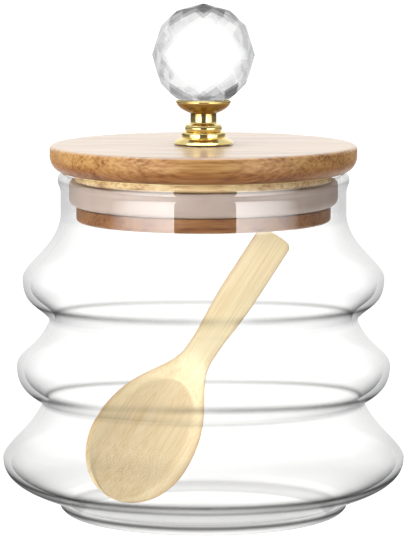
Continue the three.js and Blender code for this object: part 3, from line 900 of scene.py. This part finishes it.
def tube(grid):
    """Points and faces of a grid of rings, closed by a fan of triangles at each end."""
    count, around = grid.shape[:2]
    number = np.arange(count * around).reshape(count, around)
    here, beyond = number[:-1], number[1:]
    quads = np.stack([here, beyond, np.roll(beyond, -1, 1), np.roll(here, -1, 1)], axis=-1).reshape(-1, 4)
    points = np.vstack([grid.reshape(-1, 3), grid[0].mean(axis=0), grid[-1].mean(axis=0)])
    first = np.stack([np.full(around, len(points) - 2), number[0], np.roll(number[0], -1)], axis=-1)
    last = np.stack([np.full(around, len(points) - 1), np.roll(number[-1], -1), number[-1]], axis=-1)
    return points, quads.tolist() + first.tolist() + last.tolist()


flat_points, spoon_faces = tube(flat_grid)
spoon = new_piece("bamboo_spoon", laid_in_jar(flat_points), spoon_faces, "spoon", "spoon_wood", SPOON_CREASE)
slip = spoon.data.attributes.new("slip", "FLOAT_VECTOR", "POINT")
slip.data.foreach_set("vector", (flat_points * MM).ravel())
hollow = spoon.data.attributes.new("hollow", "FLOAT", "POINT")
# Painted shade: the whole bowl is a little darker than the handle.
bowl_painted_shade = BOWL_PAINTED_SHADE * smooth_step((outline[:, :1] - HOLLOW_START) / RIM_LEAD)
hollow.data.foreach_set("value", np.concatenate([np.maximum(carved, bowl_painted_shade).ravel(), [0, BOWL_PAINTED_SHADE]]))
# Painted shade: the spoon is darker towards its edges.
side = np.abs(np.cos(np.linspace(0, 2 * np.pi, SPOON_AROUND, endpoint=False)))
edge = spoon.data.attributes.new("edge", "FLOAT", "POINT")
edge.data.foreach_set("value", np.concatenate([np.tile(side**EDGE_SHADE_POWER, len(flat_grid)), [1, 1]]))

# %% [markdown]
# ## Bare bamboo
#
# The spoon isn't lacquered. Its fibres run along the handle as fine pale and tan lines. They follow the spoon,
# not the room, so the pattern reads the flat spoon's own coordinates, which the mesh carries as an attribute. The
# hollow shows more of the fibres' ends and also takes painted shade, the bowl takes painted shade, and the edges
# are painted darker as shade.

# %% Bamboo of the spoon
BAND_SHARE = 0.4

spoon_wood, tree, shader = new_finish("bare_bamboo", Specular_IOR_Level=0.3)
slip = stored(tree, "slip", "Vector")
lines = grain(tree, (1, 0.02, 1), 2300, 2.0, source=slip)
bands = grain(tree, (1, 0.04, 1), 300, 2.0, source=slip)
mixed = node(tree, "Mix", {"Factor": BAND_SHARE, "A": lines, "B": bands}).outputs[0]
pale = shades(tree, mixed, (0.36, (0.79, 0.64, 0.37)), (0.50, (0.86, 0.75, 0.48)), (0.64, (0.91, 0.82, 0.57)))
# The hollow is darker for its fibre ends and for painted shade in the recess; the bowl takes painted shade too.
hollow_grain_and_shade_tint = shades(tree, stored(tree, "hollow"), (0.0, grey(1)), (1.0, (0.77, 0.72, 0.69)))
pale = tinted(tree, pale, hollow_grain_and_shade_tint)
# Painted shade at the edges.
pale = tinted(tree, pale, (0.72, 0.58, 0.50, 1), stored(tree, "edge"))
linked(tree, shader, Base_Color=pale, Roughness=span(tree, lines, 0.62, 0.48))
relief(tree, shader, lines, 0.2, 0.0001)
spoon.data.materials.append(spoon_wood)
print("spoon finished in", spoon_wood.name)

# %% [markdown]
# ## The white ground
#
# Clear glass is photographed on a bright ground. If the whole room were that bright, mirrors and matt surfaces would
# be washed out, so a studio lights only the part that the camera sees. Here the object is meant to look right from
# any side.
# The Light Path node tells how a ray came: a view that is straight, or only through clear glass, finds white all
# round, and a ray that has left a mirror or a matt surface finds the dimmer room of the studio.

# %% White where it is looked at
WHITE, WHITE_TINT = 1.07, (1, 1, 0.985, 1)


def seen_straight(tree):
    """1 for a view that is straight or through clear glass only, 0 for what mirrors and matt surfaces gather."""
    path = node(tree, "LightPath").outputs
    bounced = combined(tree, path["Diffuse Depth"], path["Glossy Depth"], "ADD")
    through = combined(tree, path["Is Transmission Ray"], bounced, "SUBTRACT", use_clamp=True)
    return combined(tree, path["Is Camera Ray"], through, "MAXIMUM")


print("white ground of", WHITE)

# %% [markdown]
# The floor is a sheet of paper that glows as much as the lamps leave it short of white. That is more right under the
# jar, where no lamp reaches, and it would otherwise show as a grey disc through the glass. Two values are stored on
# its points, so its grid is fine in the middle and coarse far out.

# %% Floor
# Places and reaches are in metres, light is a share of white.
FLOOR_REACH, FLOOR_DROP, FLOOR_LINES, FLOOR_CROWDING = 6.0, 0.0002, 161, 6
LAMP_LOW, LAMP_NEAR, LAMP_FALL, LAMP_FRONT = 0.08, 0.18, 0.5, -0.05
POOL_HALF, POOL_SPREAD, POOL_FADE = 0.13, 0.09, 0.8
POOL_FRONT, POOL_LEAD = -0.16, 0.08
SHADE_GLOW, SHADE_REACH, SHADE_FADE = 0.3, 0.042, 0.012


def light_pool(x, y):
    """Glow that brings the paper up to white, and the share of it that lights the jar.

    The glow is white less what the lamps give, which falls off behind the jar with exp(-y / fall), and more under the
    jar. The share is a strip behind the jar that widens with distance and fades at its sides and in front.
    """
    lamps = LAMP_LOW + LAMP_NEAR * np.exp(-np.maximum(y, LAMP_FRONT) / LAMP_FALL)
    under = 1 - smooth_step((np.hypot(x, y) - SHADE_REACH) / SHADE_FADE)
    half = POOL_HALF + POOL_SPREAD * np.maximum(y, 0)
    strip = 1 - smooth_step((np.abs(x) - half) / (POOL_FADE * half))
    return WHITE - lamps + SHADE_GLOW * under, strip * smooth_step((y - POOL_FRONT) / POOL_LEAD)


even = np.linspace(-1, 1, FLOOR_LINES)
tightened = FLOOR_REACH * np.sinh(FLOOR_CROWDING * even) / math.sinh(FLOOR_CROWDING)
x, y = np.meshgrid(tightened, tightened)
number = np.arange(x.size).reshape(x.shape)
tiles = np.stack([number[:-1, :-1], number[:-1, 1:], number[1:, 1:], number[1:, :-1]], axis=-1).reshape(-1, 4)
floor_points = np.column_stack([x.ravel(), y.ravel(), np.full(x.size, -FLOOR_DROP)])
floor_mesh = bpy.data.meshes.new("floor")
floor_mesh.from_pydata(floor_points.tolist(), [], tiles.tolist())
for name, values in zip(("glow", "share"), light_pool(x, y)):
    floor_mesh.attributes.new(name, "FLOAT", "POINT").data.foreach_set("value", values.ravel())
floor = bpy.data.objects.new("floor", floor_mesh)
scene.collection.objects.link(floor)
paper, tree, shader = new_finish(
    "white_paper", Base_Color=(0.3, 0.3, 0.298, 1), Specular_IOR_Level=0.1, Emission_Color=WHITE_TINT
)
shown = combined(tree, stored(tree, "share"), seen_straight(tree), "MAXIMUM")
glow = combined(tree, stored(tree, "glow"), shown)
linked(tree, shader, Emission_Strength=glow, Roughness=span(tree, grain(tree, (1, 1, 1), 500), 0.7, 0.9))
floor_mesh.materials.append(paper)
print("floor:", len(tiles), "tiles")

# %% [markdown]
# ## Soft lights
#
# Two large soft lights stand in front, left and right. The gap between them, where the camera stands, stays dark in
# every mirror. It draws the clear stripe down the neck of the glass and the dark stripe down the brass. One lamp
# can't be right for both the wood and the mirrors, so each light is split in two: a fill that lights matt surfaces,
# stronger on the left, and a box close by that is seen in mirrors alone. The boxes are low, so that the top of the
# lid doesn't mirror them in a view from behind. A third light hangs overhead.

# %% Lamps
LAMP_SPREAD = 120
FILL_DISTANCE, FILL_SIZE = 1.0, (0.95, 0.28)
BOX_DISTANCE, BOX_SIZE, BOX_LOW, BOX_POWER = 0.20, (0.3, 0.16), 0.002, 0.26
TOP_SIZE, TOP_POWER, TOP_PLACE = (1.3, 0.5), 9.0, (-0.1, -0.1, 1.1)


def area_lamp(name, size, power):
    """A rectangle that shines from one face and isn't seen itself."""
    lamp = bpy.data.lights.new(name, "AREA")
    lamp.shape, lamp.size, lamp.size_y, lamp.energy = "RECTANGLE", *size, power
    made = bpy.data.objects.new(name, lamp)
    made.visible_camera = False
    scene.collection.objects.link(made)
    return made


def soft_light(name, bearing, low, distance, size, power, seen_in):
    """A lamp whose edge nearest the camera stands at a bearing and faces the jar; it reaches sideways from there.

    Its light leaves it mostly straight, so its mirror in the glass fades from that sharp edge outwards. It is seen
    in mirrors, or it lights matt surfaces, so that both can be set on their own.
    """
    made = area_lamp(name, size, power)
    made.data.spread = math.radians(LAMP_SPREAD)
    turn, aside = math.radians(bearing), math.copysign(size[0] / 2, bearing)
    made.location = (
        distance * math.sin(turn) + aside * math.cos(turn),
        aside * math.sin(turn) - distance * math.cos(turn),
        low + size[1] / 2,
    )
    made.rotation_euler = (math.radians(90), 0, turn)
    made.visible_glossy = seen_in == "mirrors"
    made.visible_diffuse = made.visible_transmission = seen_in == "matt"


# bearing in degrees, lower edge and distance in metres, size, watts
soft_light("left_fill", -23, 0.0, FILL_DISTANCE, FILL_SIZE, 3.55, "matt")
soft_light("right_fill", 25, 0.0, FILL_DISTANCE, FILL_SIZE, 0.65, "matt")
soft_light("left_box", -20.5, BOX_LOW, BOX_DISTANCE, BOX_SIZE, BOX_POWER, "mirrors")
soft_light("right_box", 23, BOX_LOW, BOX_DISTANCE, BOX_SIZE, BOX_POWER, "mirrors")
area_lamp("top_box", TOP_SIZE, TOP_POWER).location = TOP_PLACE

# %% [markdown]
# ## The room
#
# The room is a dome whose brightness follows the direction alone: white behind the jar, dim at the sides and in
# front. Seen straight it is white all round, as the floor is. Mirrors see its upper part brighter, as under a white
# ceiling, which fills the round beads of the brass with gold.

# %% Room
# Of each step of the dome: its place from front (0) to back (1), and its brightness.
DOME = ((0.25, 0.09), (0.5, 0.4), (0.86, 0.45), (0.96, 1.0))
CEILING, CEILING_FROM, CEILING_FULL = 0.45, 0.28, 0.5
BOUNCES = 24

room = bpy.data.worlds.new("studio")
scene.world = room
room.use_nodes = True
tree = room.node_tree
toward = node(tree, "SeparateXYZ", {"Vector": node(tree, "TexCoord").outputs["Generated"]}).outputs
front_to_back = span(tree, toward["Y"], 0.0, 1.0, -1, 1)
dome = shades(tree, front_to_back, *((position, grey(value)) for position, value in DOME))
overhead = span(tree, toward["Z"], 1.1, 0.8, 0.4, 0.7)
strength = combined(tree, dome, overhead)
path = node(tree, "LightPath").outputs
not_mirrored = combined(tree, path["Is Transmission Ray"], path["Diffuse Depth"], "ADD")
mirrored = combined(tree, path["Is Glossy Ray"], not_mirrored, "SUBTRACT", use_clamp=True)
ceiling = combined(tree, mirrored, span(tree, toward["Z"], 0.0, CEILING, CEILING_FROM, CEILING_FULL))
strength = combined(tree, strength, ceiling, "ADD")
strength = node(tree, "Mix", {"Factor": seen_straight(tree), "A": strength, "B": WHITE}).outputs[0]
background = tree.nodes["Background"].inputs
background["Color"].default_value = WHITE_TINT
tree.links.new(strength, background["Strength"])
scene.view_settings.view_transform = "Standard"
scene.cycles.max_bounces = scene.cycles.transmission_bounces = BOUNCES
print("room lit from behind, view transform", scene.view_settings.view_transform)
